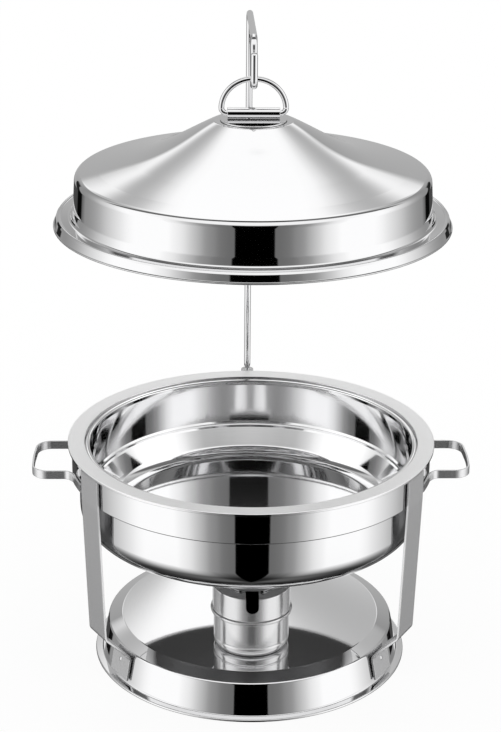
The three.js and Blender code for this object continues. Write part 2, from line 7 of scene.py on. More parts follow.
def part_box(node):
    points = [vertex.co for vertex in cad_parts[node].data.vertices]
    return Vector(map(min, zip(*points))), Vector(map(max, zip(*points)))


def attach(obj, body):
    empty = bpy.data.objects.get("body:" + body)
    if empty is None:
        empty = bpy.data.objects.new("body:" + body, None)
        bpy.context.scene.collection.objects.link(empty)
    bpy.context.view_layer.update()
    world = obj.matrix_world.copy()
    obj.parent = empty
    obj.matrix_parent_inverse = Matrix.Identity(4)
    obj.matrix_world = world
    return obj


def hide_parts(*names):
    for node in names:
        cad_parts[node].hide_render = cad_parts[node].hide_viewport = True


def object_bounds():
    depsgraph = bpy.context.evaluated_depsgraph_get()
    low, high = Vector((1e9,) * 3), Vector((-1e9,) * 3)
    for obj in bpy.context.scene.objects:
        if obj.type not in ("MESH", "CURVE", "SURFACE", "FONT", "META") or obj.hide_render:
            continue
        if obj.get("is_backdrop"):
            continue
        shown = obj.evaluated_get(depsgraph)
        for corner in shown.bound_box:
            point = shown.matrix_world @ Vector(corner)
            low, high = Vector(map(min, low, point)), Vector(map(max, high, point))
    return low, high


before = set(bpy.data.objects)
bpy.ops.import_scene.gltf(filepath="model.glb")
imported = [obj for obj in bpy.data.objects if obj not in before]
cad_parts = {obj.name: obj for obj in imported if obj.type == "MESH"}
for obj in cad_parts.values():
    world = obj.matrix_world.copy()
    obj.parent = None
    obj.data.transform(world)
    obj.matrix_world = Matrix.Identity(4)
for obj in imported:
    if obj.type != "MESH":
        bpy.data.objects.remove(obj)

cad_low, cad_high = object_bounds()

# ---------------------------------------------------------------------------------------
# Camera
# A long lens looks down at the dish from about 21 degrees above its rim, slightly from its
# left. The picture leans by half a degree.
# ---------------------------------------------------------------------------------------
MM = 0.001
base_low, base_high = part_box("base_tray")
centre_y = (base_low.y + base_high.y) / 2

sensor_width = 36
focal_length = 95.7
camera_distance = 1.9143
camera_height = 1.0603
camera_azimuth = math.radians(-1.4)
camera_pitch = math.radians(20.91)
camera_yaw_trim = math.radians(0.036)
camera_roll = math.radians(0.45)

camera = bpy.data.objects.new("camera", bpy.data.cameras.new("camera"))
camera.data.sensor_width = sensor_width
camera.data.lens = focal_length
camera.location = (
    math.sin(camera_azimuth) * camera_distance,
    centre_y - math.cos(camera_azimuth) * camera_distance,
    camera_height,
)
heading = Matrix.Rotation(camera_azimuth + camera_yaw_trim, 3, "Z")
tilt = Matrix.Rotation(math.pi / 2 - camera_pitch, 3, "X")
camera.rotation_euler = (heading @ tilt @ Matrix.Rotation(camera_roll, 3, "Z")).to_euler()
bpy.context.scene.collection.objects.link(camera)
bpy.context.scene.camera = camera
bpy.context.scene.view_settings.view_transform = "Standard"


# ---------------------------------------------------------------------------------------
# Studio
# Two tall white screens with a dark gap between them stand in front of the steel, and a round
# light in a dark frame hangs above and behind it. Only the steel sees them: all else is lit
# by an even white dome.
# ---------------------------------------------------------------------------------------
class Signal:
    """One output of a shader tree. It can be added, taken away, multiplied and divided."""

    def __init__(self, tree, socket=None):
        self.tree = tree
        self.socket = socket

    def make(self, kind, settings=None, sockets=None, output=0):
        """Adds a node: its settings first, then the values of its sockets or links to them."""
        node = self.tree.nodes.new(kind)
        for key, value in (settings or {}).items():
            if key == "stops":
                fill_ramp(node.color_ramp, value)
            else:
                setattr(node, key, value)
        for key, value in (sockets or {}).items():
            if isinstance(value, Signal):
                self.tree.links.new(value.socket, node.inputs[key])
            else:
                node.inputs[key].default_value = value
        return Signal(self.tree, node.outputs[output] if node.outputs else None)

    def math(self, operation, *values, clamp=False):
        settings = {"operation": operation, "use_clamp": clamp}
        return self.make("ShaderNodeMath", settings, dict(enumerate(values)))

    def __add__(self, other):
        return self.math("ADD", self, other)

    def __sub__(self, other):
        return self.math("SUBTRACT", self, other)

    def __mul__(self, other):
        return self.math("MULTIPLY", self, other)

    def __truediv__(self, other):
        return self.math("DIVIDE", self, other)

    def __rsub__(self, other):
        return self.math("SUBTRACT", other, self)

    __radd__ = __add__
    __rmul__ = __mul__

    def step(self, edge, width):
        """0 below edge, 1 above it, with a straight slope of that width between."""
        return self.math("MULTIPLY_ADD", self, 1 / width, 0.5 - edge / width, clamp=True)

    def blend(self, low, high):
        """low where this signal is 0, high where it is 1."""
        return low + (high - low) * self

    def split(self):
        node = self.make("ShaderNodeSeparateXYZ", sockets={"Vector": self}).socket.node
        return [Signal(self.tree, output) for output in node.outputs]


def fill_ramp(ramp, stops):
    """Puts a smooth run of greys on a colour ramp, from (place, grey) pairs."""
    ramp.interpolation = "CARDINAL"
    while len(ramp.elements) < len(stops):
        ramp.elements.new(1)
    for element, (place, grey) in zip(ramp.elements, stops):
        element.position = place
        element.color = (grey, grey, grey, 1)


def light(level):
    """Linear brightness of a tone given as the eye sees it, 0 to 1."""
    return level ** 2.2


screens_lean = 0.304
screens_top = 0.56
gap_edge = 0.072
gap_top = 0.5
side_strip = (0.795, 0.848)
side_strip_top = 0.2
ceiling_lean = 0.4825
ceiling_reach = 1.235
ceiling_frame_width = 0.4
ceiling_frame_back = 0.4
backdrop_front = 0.72
backdrop_top = -0.2
floor_shade_edge = -0.62
lamp_power = 1.22

world = bpy.data.worlds.new("studio")
world.use_nodes = True
world.node_tree.nodes.clear()
bpy.context.scene.world = world
studio = Signal(world.node_tree)
x, y, z = studio.make("ShaderNodeTexCoord", output=0).split()
side = x.math("ABSOLUTE", x)

# Angle round the side screens from the camera, 0 at the front and 1 at the back.
around = side.math("ARCTAN2", side, z * screens_lean - y) / math.pi
screens = around.make("ShaderNodeValToRGB", {"stops": [
    (0.096, light(0.42)), (0.14, light(0.5)), (0.19, light(0.64)), (0.25, light(0.86)),
    (0.31, light(0.98)), (0.36, light(1.02)), (0.43, light(1.02)), (0.52, light(0.93)),
    (0.63, light(0.72)), (0.74, light(0.55)), (0.86, light(0.62)), (1.0, light(0.67)),
]}, {"Fac": around})
gap = 1 - (1 - around.step(gap_edge, 0.004)) * (1 - z.step(gap_top, 0.12))
strip = around.step(side_strip[0], 0.006) * (1 - around.step(side_strip[1], 0.006))
strip = strip * (1 - z.step(side_strip_top, 0.1))
over_screens = z.step(screens_top, 0.15) * (1 - y.step(-0.1, 0.2))
screens = over_screens.blend(screens * gap * (1 - 0.95 * strip), light(0.96))

# Angle across the ceiling light, 0 at its middle line.
across = side.math("ARCTAN2", side, z - y * ceiling_lean) / math.pi
ceiling = across.make("ShaderNodeValToRGB", {"stops": [
    (0.0, light(1.0)), (0.12, light(1.0)), (0.17, light(0.95)), (0.23, light(0.79)),
    (0.32, light(0.69)), (0.4, light(0.78)), (0.49, light(0.94)), (0.61, light(0.9)),
    (0.7, light(0.78)), (0.78, light(0.62)), (1.0, light(0.6)),
]}, {"Fac": across})
reach = y + z
on_ceiling = reach.step(ceiling_reach, 0.03)
near_ceiling = reach.step(ceiling_reach - ceiling_frame_width, 0.05) * (1 - on_ceiling)
ceiling_frame = near_ceiling * (1 - y.step(ceiling_frame_back, 0.1))
tone = on_ceiling.blend(screens, ceiling) * (1 - 0.85 * ceiling_frame)

# Low directions go dark towards the ground, and so does the way straight past the dish.
backdrop = y.step(backdrop_front, 0.1) * (1 - z.step(backdrop_top, 0.06))
tone = tone * (0.10 + 0.90 * z.step(floor_shade_edge, 0.36)) * (1 - 0.85 * backdrop)

path = studio.make("ShaderNodeLightPath").socket.node
seen_in_steel = Signal(world.node_tree, path.outputs["Is Glossy Ray"])
brightness = seen_in_steel.blend(1.0, tone * lamp_power)
lamp = studio.make("ShaderNodeBackground", sockets={"Color": brightness, "Strength": 1.0})
studio.make("ShaderNodeOutputWorld", sockets={"Surface": lamp})

# ---------------------------------------------------------------------------------------
# Floor
# A plain sheet of glowing white paper just under the base, too far out for its edge to show.
# ---------------------------------------------------------------------------------------
floor_reach = 6
floor_gap = 0.0005
paper_glow = 0.9
floor_mesh = bpy.data.meshes.new("floor")
floor_corners = [(-1, -1), (1, -1), (1, 1), (-1, 1)]
floor_mesh.from_pydata(
    [(x * floor_reach, y * floor_reach, 0) for x, y in floor_corners], [], [(0, 1, 2, 3)])
floor = bpy.data.objects.new("floor", floor_mesh)
floor.location.z = cad_low.z - floor_gap
floor.visible_glossy = False
bpy.context.scene.collection.objects.link(floor)
floor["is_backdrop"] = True
pale = bpy.data.materials.new("pale_floor")
pale.use_nodes = True
pale.node_tree.nodes.clear()
paper = Signal(pale.node_tree)
matt = paper.make("ShaderNodeBsdfDiffuse", sockets={"Color": (1, 1, 1, 1)})
glow = paper.make("ShaderNodeEmission", sockets={"Color": (1, 1, 1, 1), "Strength": 1.0})
both = paper.make("ShaderNodeMixShader", sockets={0: paper_glow, 1: matt, 2: glow})
paper.make("ShaderNodeOutputMaterial", sockets={"Surface": both})
floor_mesh.materials.append(pale)


# ---------------------------------------------------------------------------------------
# Base tray
# An upturned pan pressed from 1.2 mm stainless sheet: a raised mirror disc for the burner, a
# conical shoulder, a flared wall and a flange whose edge is rolled under.
# ---------------------------------------------------------------------------------------
def box_mm(node):
    """A node's box in millimetres."""
    low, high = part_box(node)
    return low / MM, high / MM


least_radius = 0.05
arc_step = math.radians(7)


def rounded(corners, closed=False):
    """Points and outward normals of an outline, anticlockwise, from (x, y, corner radius)."""
    count = len(corners)
    outline = []
    for i, (x, y, radius) in enumerate(corners):
        here = Vector((x, y))
        if not closed and i in (0, count - 1):
            other = Vector(corners[1 if i == 0 else count - 2][:2])
            along = (other - here if i == 0 else here - other).normalized()
            outline.append((here, Vector((along.y, -along.x))))
            continue
        into = (here - Vector(corners[i - 1][:2])).normalized()
        out = (Vector(corners[(i + 1) % count][:2]) - here).normalized()
        turn = math.atan2(into.x * out.y - into.y * out.x, into.dot(out))
        if abs(turn) < 0.005:
            outline.append((here, Vector((into.y, -into.x))))
            continue
        radius = max(radius, least_radius)
        start = here - into * radius * math.tan(abs(turn) / 2)
        hand = math.copysign(1, turn)
        centre = start + Vector((-into.y, into.x)) * radius * hand
        steps = max(2, math.ceil(abs(turn) / arc_step))
        for k in range(steps + 1):
            angle = math.atan2(-into.x, into.y) + turn * k / steps
            normal = Vector((math.cos(angle), math.sin(angle)))
            outline.append((centre + normal * radius * hand, normal))
    return outline


def shell(face, thickness):
    """Closed outline of a sheet from its outer face, with its free edges rounded."""
    back = [(point - normal * thickness, -normal) for point, normal in reversed(face)]
    closed = list(face)
    for (point, normal), start in ((face[-1], False), (face[0], True)):
        if start:
            closed += back
        if point.x < 1e-6:
            continue
        middle = point - normal * thickness / 2
        angle = math.atan2(normal.y, normal.x) + (math.pi if start else 0)
        for k in (1, 2, 3):
            at = angle + k * math.pi / 4
            spoke = Vector((math.cos(at), math.sin(at)))
            closed.append((middle + spoke * thickness / 2, spoke))
    return closed


def finished(name, points, normals, faces, flat, material, body, nodes, place=None):
    """Makes the mesh, gives it exact normals, and hands it to its body in the frame."""
    mesh = bpy.data.meshes.new(name)
    place = place or Matrix.Identity(4)
    mesh.from_pydata([place @ Vector(p) * MM for p in points], [], faces + flat)
    mesh.polygons.foreach_set("use_smooth", [True] * len(mesh.polygons))
    turn = place.to_3x3()
    exact = [turn @ Vector(n) for n in normals]
    corners = []
    for polygon in mesh.polygons:
        is_flat = polygon.index >= len(faces)
        corners += [polygon.normal if is_flat else exact[v] for v in polygon.vertices]
    mesh.normals_split_custom_set(corners)
    mesh.materials.append(material)
    piece = bpy.data.objects.new(name, mesh)
    bpy.context.scene.collection.objects.link(piece)
    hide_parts(*nodes)
    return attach(piece, body)


def turned(name, outline, material, body, nodes, centre=(0, None, 0),
           sides=160, place=None):
    """A piece spun round an upright axis, from a closed (radius, height) outline."""
    points, normals, rings = [], [], []
    for point, normal in outline:
        if point.x < 1e-6:
            rings.append([len(points)])
            points.append((0, 0, point.y))
            normals.append((0, 0, math.copysign(1, normal.y)))
            continue
        ring = []
        for k in range(sides):
            angle = 2 * math.pi * k / sides
            c, s = math.cos(angle), math.sin(angle)
            ring.append(len(points))
            points.append((point.x * c, point.x * s, point.y))
            normals.append((normal.x * c, normal.x * s, normal.y))
        rings.append(ring)
    faces = []
    for ring, after in zip(rings, rings[1:] + rings[:1]):
        for k in range(sides):
            j = (k + 1) % sides
            if len(ring) == 1 and len(after) == 1:
                break
            if len(ring) == 1:
                faces.append((ring[0], after[j], after[k]))
            elif len(after) == 1:
                faces.append((ring[k], ring[j], after[0]))
            else:
                faces.append((ring[k], ring[j], after[j], after[k]))
    cx, cy, cz = centre
    here = Matrix.Translation((cx, centre_y / MM if cy is None else cy, cz))
    place = here @ (place or Matrix.Identity(4))
    return finished(name, points, normals, faces, [], material, body, nodes, place)


def steel(name, colour, roughness, wear, lines, line_depth, lay, metallic=1.0):
    """Stainless steel. Fine polishing lines follow the lay: 'spun' circles or 'drawn' lengths."""
    material = bpy.data.materials.new(name)
    material.use_nodes = True
    material.node_tree.nodes.clear()
    start = Signal(material.node_tree)
    place = start.make("ShaderNodeTexCoord", output=3)
    px, py, pz = place.split()
    from_axis = py - centre_y
    if lay == "spun":
        distance = px.math("SQRT", px * px + from_axis * from_axis)
        angle = px.math("ARCTAN2", px, from_axis)
        grain = (distance * lines, angle * 4, pz * lines)
    else:
        grain = (px * lines, py * lines, pz * 18)
    along = start.make("ShaderNodeCombineXYZ", sockets=dict(enumerate(grain)))
    scratches = start.make("ShaderNodeTexNoise", {"noise_dimensions": "3D"},
                           {"Vector": along, "Scale": 1.0, "Detail": 4.0, "Roughness": 0.65})
    clouds = start.make("ShaderNodeTexNoise", {"noise_dimensions": "3D"},
                        {"Vector": place, "Scale": 14.0, "Detail": 3.0, "Roughness": 0.5})
    smears = start.make("ShaderNodeTexNoise", {"noise_dimensions": "3D"},
                        {"Vector": place, "Scale": 90.0, "Detail": 5.0, "Roughness": 0.7})
    rough = roughness + wear * (scratches - 0.5) + wear * (clouds - 0.45) * (smears + 0.5)
    rough = rough.math("MAXIMUM", rough, roughness * 0.5)
    shade = 1 - (scratches - 0.5) * wear * 0.6
    tint = start.make("ShaderNodeMix", {"data_type": "RGBA", "blend_type": "MULTIPLY"},
                      {0: 1.0, 6: (*colour, 1), 7: shade}, output=2)
    relief = start.make("ShaderNodeBump", sockets={
        "Strength": line_depth, "Distance": 0.0002, "Height": scratches})
    skin = start.make("ShaderNodeBsdfPrincipled", sockets={
        "Base Color": tint, "Metallic": metallic, "Roughness": rough, "Normal": relief})
    start.make("ShaderNodeOutputMaterial", sockets={"Surface": skin})
    return material


mirror_steel = steel("mirror_steel", (0.8, 0.8, 0.805), 0.035, 0.02, 900, 0.02, "spun")
base_top = base_high.z / MM
base_radius = (base_high.x - base_low.x) / 2 / MM
tray_sheet = 1.2
disc_edge = 140.2
shoulder_edge = 155.4
shoulder_drop = 6.2
wall_foot = 162.2
flange_top = 2.7
flange_under = flange_top - tray_sheet
rolled_edge = 4.4
turned("base_tray_pressing", rounded([
    (0, base_top - tray_sheet, 0),
    (disc_edge - 0.7, base_top - tray_sheet, 2),
    (shoulder_edge - tray_sheet, base_top - shoulder_drop - 1.6, 1.6),
    (wall_foot - 1, flange_under, 2),
    (base_radius - rolled_edge, flange_under, 0.3),
    (base_radius - rolled_edge, 0, 0.5),
    (base_radius, 0, 1),
    (base_radius, flange_top, 1.2),
    (wall_foot, flange_top, 1.2),
    (shoulder_edge, base_top - shoulder_drop, 2.8),
    (disc_edge, base_top, 3),
    (0, base_top, 0),
]), mirror_steel, "frame", ["base_tray"])


# ---------------------------------------------------------------------------------------
# Legs
# Three flat strips of satin-brushed stainless, spot-welded outside the support band. Each
# leans in, turns towards the base and ends in a tab folded flat on the base's wall.
# ---------------------------------------------------------------------------------------
def lofted(name, rings, material, body, nodes, place=None):
    """A closed skin over rings of (point, normal), with a flat face at each end."""
    width = len(rings[0])
    points = [point for ring in rings for point, _ in ring]
    normals = [normal for ring in rings for _, normal in ring]
    faces = []
    for start in range(0, len(points) - width, width):
        for k in range(width):
            here, beside = start + k, start + (k + 1) % width
            faces.append((beside, here, here + width, beside + width))
    last = len(points) - 1
    flat = [tuple(range(width)), tuple(range(last, last - width, -1))]
    return finished(name, points, normals, faces, flat, material, body, nodes, place)


def swept(name, spine, section, material, body, nodes, place=None):
    """A section carried along a flat path of (point, normal). The section's first axis is
    the path's normal and its second is the path's own upright, Z."""
    rings = [
        [((at.x + out.x * point.x, at.y + out.y * point.x, point.y),
          (out.x * normal.x, out.y * normal.x, normal.y)) for point, normal in section]
        for at, out in spine
    ]
    return lofted(name, rings, material, body, nodes, place)


def flat_bar(thickness, width, edge):
    """Section of a strip with softened edges, its outer face on the path."""
    half = width / 2
    return rounded([
        (-thickness, -half, edge), (0, -half, edge), (0, half, edge), (-thickness, half, edge),
    ], closed=True)


satin_steel = steel("satin_steel", (0.72, 0.72, 0.725), 0.22, 0.09, 2600, 0.10, "drawn", 0.8)
band_low, band_high = box_mm("support_band")
band_radius = (band_high.x - band_low.x) / 2
leg_low, leg_high = box_mm("leg_rear")
leg_face = leg_high.y - centre_y / MM
leg_strip = 2.4
leg_width = 36
foot_setback = 6.062
fold_radius, fold_height = 159.3, 32.8
knee_lean, knee_height = 5.5, 62
leg_path = rounded([
    (base_radius - foot_setback, leg_low.z, 0),
    (fold_radius, fold_height, 6),
    (leg_face - knee_lean, knee_height, 9),
    (leg_face, band_low.z, 30),
    (leg_face, leg_high.z, 0),
])
leg_angles = {"left": 210, "right": 330, "rear": 90}
upright = Matrix.Rotation(math.pi / 2, 4, "X")
dish_centre = Matrix.Translation((0, centre_y / MM, 0))
for side_name, degrees in leg_angles.items():
    turn = Matrix.Rotation(math.radians(degrees), 4, "Z")
    swept(f"leg_{side_name}_strip", leg_path, flat_bar(leg_strip, leg_width, 0.45), satin_steel,
          "frame", [f"leg_{side_name}"], dish_centre @ turn @ upright)


# ---------------------------------------------------------------------------------------
# Foot rivets
# One low domed stainless rivet fixes each folded foot to the base's wall.
# ---------------------------------------------------------------------------------------
def rivet_head(radius, height):
    """Outline of a low domed head."""
    return rounded([
        (0, 0, 0), (radius, 0, 0.1), (radius * 0.92, height * 0.55, radius * 0.35),
        (radius * 0.35, height, radius * 0.6), (0, height, 0),
    ])


wall_lean = 11.4
rivet_radius, rivet_height = 2.6, 1.4
rivet_sink = 0.75
small_sides = 40
for side_name, degrees in leg_angles.items():
    low, high = box_mm(f"foot_rivet_{side_name}")
    middle = (low + high) / 2 - Vector((0, centre_y / MM, 0))
    turn = Matrix.Rotation(math.radians(degrees), 4, "Z")
    out = math.hypot(middle.x, middle.y) - rivet_sink
    lean = Matrix.Rotation(math.radians(90 - wall_lean), 4, "Y")
    turned(f"foot_rivet_{side_name}_head", rivet_head(rivet_radius, rivet_height),
           mirror_steel, "frame", [f"foot_rivet_{side_name}"], sides=small_sides,
           place=turn @ Matrix.Translation((out, 0, middle.z)) @ lean)

# ---------------------------------------------------------------------------------------
# Support band
# A ring of polished strip, 34 mm deep. The legs carry it and the water pan's rim rests on it.
# Its lower edge is rolled in.
# ---------------------------------------------------------------------------------------
band_sheet = 1.7
turned("support_band_ring", rounded([
    (band_radius - band_sheet, band_low.z, least_radius),
    (band_radius, band_low.z, 1.6),
    (band_radius, band_high.z, 0.4),
    (band_radius - band_sheet, band_high.z, 0.3),
], closed=True), mirror_steel, "frame", ["support_band"])

# ---------------------------------------------------------------------------------------
# Side handles
# Each is one flat strip with a fine satin polish, bent to a shallow loop. Its two ends turn
# against the band as curved tabs, spot-welded from inside.
# ---------------------------------------------------------------------------------------
handle_steel = steel("handle_steel", (0.74, 0.74, 0.745), 0.2, 0.08, 1500, 0.06, "drawn", 0.85)
handle_low, handle_high = box_mm("handle_right")
handle_height = handle_high.z - handle_low.z
handle_middle = (handle_high.z + handle_low.z) / 2
grip_reach = handle_high.x
handle_strip = 2
arm_side = 41
arm_root = 4.5
grip_bow = 1.8
tab_radius = band_radius + 2.7
tab_angles = (23.2, 20, 17)
tab_bend_angle = 14.6


def on_band(degrees, bend):
    """A corner of the handle's path that lies against the band."""
    angle = math.radians(degrees)
    return (tab_radius * math.cos(angle), tab_radius * math.sin(angle), bend)


far_half = [on_band(degrees, 150) for degrees in tab_angles] + [
    on_band(tab_bend_angle, 6),
    (math.sqrt(tab_radius ** 2 - arm_side ** 2) + arm_root, arm_side, 9),
    (grip_reach - grip_bow, arm_side, 17),
]
near_half = [(x, -y, bend) for x, y, bend in far_half]
loop_path = rounded(near_half + [(grip_reach, 0, 140)] + far_half[::-1])
handle_level = dish_centre @ Matrix.Translation((0, 0, handle_middle))
for side_name, turn in (("right", 0), ("left", math.pi)):
    swept(f"handle_{side_name}_strip", loop_path, flat_bar(handle_strip, handle_height, 0.55),
          handle_steel, "frame", [f"handle_{side_name}"],
          handle_level @ Matrix.Rotation(turn, 4, "Z"))


# ---------------------------------------------------------------------------------------
# Rod socket
# A satin plate with a round boss, screwed to the top of the rear leg. The thin end of the
# hanger rod stands in the boss and turns there.
# ---------------------------------------------------------------------------------------
def prism(name, outline, low, high, soft, material, body, nodes, place=None):
    """An outline raised between two heights, with both its rims softened."""
    rings = []
    for rim_height, up in ((high, 1), (low, -1)):
        for k in range(4):
            angle = math.pi / 2 * (k / 3 if up > 0 else 1 - k / 3)
            inset = soft * (1 - math.sin(angle))
            height = rim_height - up * soft * (1 - math.cos(angle))
            rings.append([
                ((point.x - normal.x * inset, point.y - normal.y * inset, height),
                 (normal.x * math.sin(angle), normal.y * math.sin(angle), up * math.cos(angle)))
                for point, normal in outline
            ])
    return lofted(name, rings, material, body, nodes, place)


socket_low, socket_high = box_mm("rod_socket")
plate_face = socket_low.y + 3
plate_half = socket_high.x
rod_radius = 3.6
boss = socket_high.y - (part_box("hanger_rod")[1].y / MM - rod_radius)
boss_back = socket_high.y
boss_round = boss - 0.05
right_half = [
    (plate_half, socket_low.y, 0.5), (plate_half, plate_face, 0.8), (boss, plate_face, 1.5),
    (boss, boss_back, boss_round),
]
left_half = [(-x, y, round_) for x, y, round_ in reversed(right_half)]
prism("rod_socket_block", rounded(left_half[-1:] + right_half + left_half[:-1], closed=True),
      socket_low.z, socket_high.z, 0.6, satin_steel, "frame", ["rod_socket"])

# ---------------------------------------------------------------------------------------
# Socket screws
# Two small domed screws, one on each side of the boss, hold the socket's plate to the leg.
# ---------------------------------------------------------------------------------------
screw_radius, screw_height = 2, 1.5
for side_name in ("left", "right"):
    low, high = box_mm(f"socket_screw_{side_name}")
    turned(f"socket_screw_{side_name}_head", rivet_head(screw_radius, screw_height),
           mirror_steel, "frame", [f"socket_screw_{side_name}"], sides=small_sides,
           centre=((low.x + high.x) / 2, low.y, (low.z + high.z) / 2),
           place=Matrix.Rotation(-math.pi / 2, 4, "X"))

# ---------------------------------------------------------------------------------------
# Water pan
# Deep-drawn 1 mm stainless, polished outside, with a satin underside. Its wide satin rim is
# turned down at the edge, and a step inside it seats the food pan.
# ---------------------------------------------------------------------------------------
rim_steel = steel("rim_steel", (0.92, 0.92, 0.92), 0.33, 0.10, 2600, 0.12, "spun", 0.35)
pan_under_steel = steel("pan_under_steel", (0.48, 0.48, 0.485), 0.42, 0.1, 1400, 0.12, "spun")
pan_low, pan_high = box_mm("water_pan")
rim = pan_high.z
rim_edge = (pan_high.x - pan_low.x) / 2
rim_inner = rim_edge - 18
rim_sheet = 1.2
rim_skirt = 3.2
seat_drop = 8
seat_edge = rim_inner - 4.2
pan_wall = rim_edge - 11.5
pan_sheet = 1
pan_corner = 28
water_pan = turned("water_pan_body", rounded([
    (0, pan_low.z, 0),
    (pan_wall, pan_low.z, pan_corner),
    (pan_wall, rim - 1.6, 0.4),
    (rim_edge - rim_sheet, rim - 1.3, 0.5),
    (rim_edge - rim_sheet, rim - rim_skirt, 0.3),
    (rim_edge, rim - rim_skirt, 0.4),
    (rim_edge, rim, 1.3),
    (rim_inner + 0.2, rim - 0.8, 1),
    (rim_inner, rim - seat_drop, 1),
    (seat_edge, rim - seat_drop, 0.5),
    (seat_edge, rim - seat_drop - rim_sheet, 0.4),
    (rim_inner + 1.3, rim - seat_drop - rim_sheet, 1.2),
    (rim_inner + 1.3, rim - 2, 0.8),
    (pan_wall - pan_sheet, rim - 2, 0.8),
    (pan_wall - pan_sheet, pan_low.z + pan_sheet, pan_corner - pan_sheet),
    (0, pan_low.z + pan_sheet, 0),
]), mirror_steel, "water_pan", ["water_pan"])
water_pan.data.materials.append(rim_steel)
water_pan.data.materials.append(pan_under_steel)
for polygon in water_pan.data.polygons:
    height = polygon.center.z / MM
    on_rim = height > rim - rim_sheet and polygon.normal.z > 0.3
    underneath = height < pan_low.z + 0.4
    if on_rim:
        polygon.material_index = 1
    elif underneath:
        polygon.material_index = 2

# ---------------------------------------------------------------------------------------
# Food pan
# Polished 0.9 mm sheet: a flat floor, a conical step above a bead, a nearly straight wall and
# a rolled edge that rests on the water pan's seat.
# ---------------------------------------------------------------------------------------
food_pan_steel = steel("food_pan_steel", (0.9, 0.9, 0.905), 0.055, 0.03, 900, 0.03, "spun")
food_low, food_high = box_mm("food_pan")
food_sheet = 0.9
roll = food_high.z
roll_edge = 176.2
floor_level = food_low.z
step_foot, step_top = 153, 168.3
turned("food_pan_body", shell(rounded([
    (0, floor_level, 0),
    (step_foot, floor_level, 20),
    (step_top, floor_level + 28.6, 3),
    (169.9, floor_level + 31.0, 1.6),
    (169.6, floor_level + 33.4, 1.2),
    (171.2, floor_level + 36.0, 1.2),
    (171.9, roll - 4.6, 2.5),
    (172.2, roll - 0.2, 1.5),
    (roll_edge, roll + 0.1, 1.7),
    (roll_edge, roll - 3.4, 0),
]), food_sheet), food_pan_steel, "food_pan", ["food_pan"])

# ---------------------------------------------------------------------------------------
# Burner cup
# Spun from 0.9 mm steel with a shallow groove round its foot. It stands loose in the middle of
# the base and holds the fuel can.
# ---------------------------------------------------------------------------------------
burner_steel = steel("burner_steel", (0.74, 0.74, 0.745), 0.17, 0.08, 1700, 0.06, "drawn", 0.85)
cup_low, cup_high = box_mm("burner_cup")
burner_y = (cup_low.y + cup_high.y) / 2
cup_radius = (cup_high.x - cup_low.x) / 2
cup_sheet = 0.9
foot = cup_low.z
groove = foot + 10.4
round_sides = 96
turned("burner_cup_body", shell(rounded([
    (0, foot, 0),
    (cup_radius - 0.4, foot, 6),
    (cup_radius, groove - 1.2, 3),
    (cup_radius - 1, groove, 0.7),
    (cup_radius, groove + 1.2, 0.7),
    (cup_radius, cup_high.z, 0),
]), cup_sheet), burner_steel, "burner", ["burner_cup"], centre=(0, burner_y, 0),
    sides=round_sides)

# ---------------------------------------------------------------------------------------
# Fuel can
# A seamed tinplate can of gel fuel with a sunken lid, open in the middle. It sits in the cup.
# ---------------------------------------------------------------------------------------
can_low, can_high = box_mm("fuel_can")
can_radius = (can_high.x - can_low.x) / 2
can_body = can_radius - 0.6
can_lid = can_high.z - 2
can_mouth = 19.4
gel_level = can_high.z - 8
tinplate = steel("tinplate", (0.72, 0.71, 0.68), 0.3, 0.12, 500, 0.08, "spun")
turned("fuel_can_body", rounded([
    (0, can_low.z, 0),
    (can_radius - 2.6, can_low.z, 1.2),
    (can_radius, can_low.z + 2.6, 1),
    (can_body, can_low.z + 5, 1.5),
    (can_body, can_high.z - 4, 1.5),
    (can_radius, can_lid, 0.8),
    (can_radius, can_high.z, 0.7),
    (can_radius - 1.5, can_high.z, 0.6),
    (can_radius - 2.2, can_lid, 0.4),
    (can_mouth, can_lid, 1.2),
    (can_mouth - 0.6, gel_level, 1),
    (0, gel_level, 0),
]), tinplate, "burner", ["fuel_can"], centre=(0, burner_y, 0),
    sides=round_sides)

# ---------------------------------------------------------------------------------------
# Burner collar
# Spun from the same steel, with a rolled bead round its foot and a round mouth in its top. It
# slips over the cup.
# ---------------------------------------------------------------------------------------
collar_low, collar_high = box_mm("burner_collar")
collar_sheet = 0.95
collar_radius = cup_radius + 1.3
collar_mouth = 22
bead = (collar_high.x - collar_low.x) / 2
collar_top = collar_high.z
turned("burner_collar_body", shell(rounded([
    (collar_radius, collar_low.z, 0),
    (bead - 0.3, collar_low.z + 0.9, 1.1),
    (bead - 0.1, collar_low.z + 3.6, 1.4),
    (collar_radius, collar_low.z + 5.2, 1),
    (collar_radius, collar_top, 1.6),
    (collar_mouth, collar_top, 0),
]), collar_sheet), burner_steel, "collar", ["burner_collar"], centre=(0, burner_y, 0), sides=128)

# ---------------------------------------------------------------------------------------
# Damper
# A flat disc that swings over the collar's mouth. Its neck runs out over the collar's edge and
# is folded down as a thumb tab with a round end.
# ---------------------------------------------------------------------------------------
damper_low, damper_high = box_mm("burner_damper")
disc_radius = (damper_high.x - damper_low.x) / 2
damper_sheet = 1.2
burner_centre = Matrix.Translation((0, burner_y, 0))


def on_disc(degrees):
    """A corner of the disc's outline."""
    angle = math.radians(degrees)
    return (disc_radius * math.cos(angle), disc_radius * math.sin(angle), 24)


neck = [(7, 27.6, 2), (5.2, 35, 4), (0, 39, 5.2), (-5.2, 35, 4), (-7, 27.6, 2)]
right_side = [on_disc(degrees) for degrees in range(-74, 75, 6)]
left_side = [on_disc(degrees) for degrees in range(106, 255, 6)]
prism("burner_damper_disc", rounded(right_side + neck + left_side, closed=True),
      damper_high.z - damper_sheet, damper_high.z, 0.3, burner_steel, "damper",
      ["burner_damper"], burner_centre)

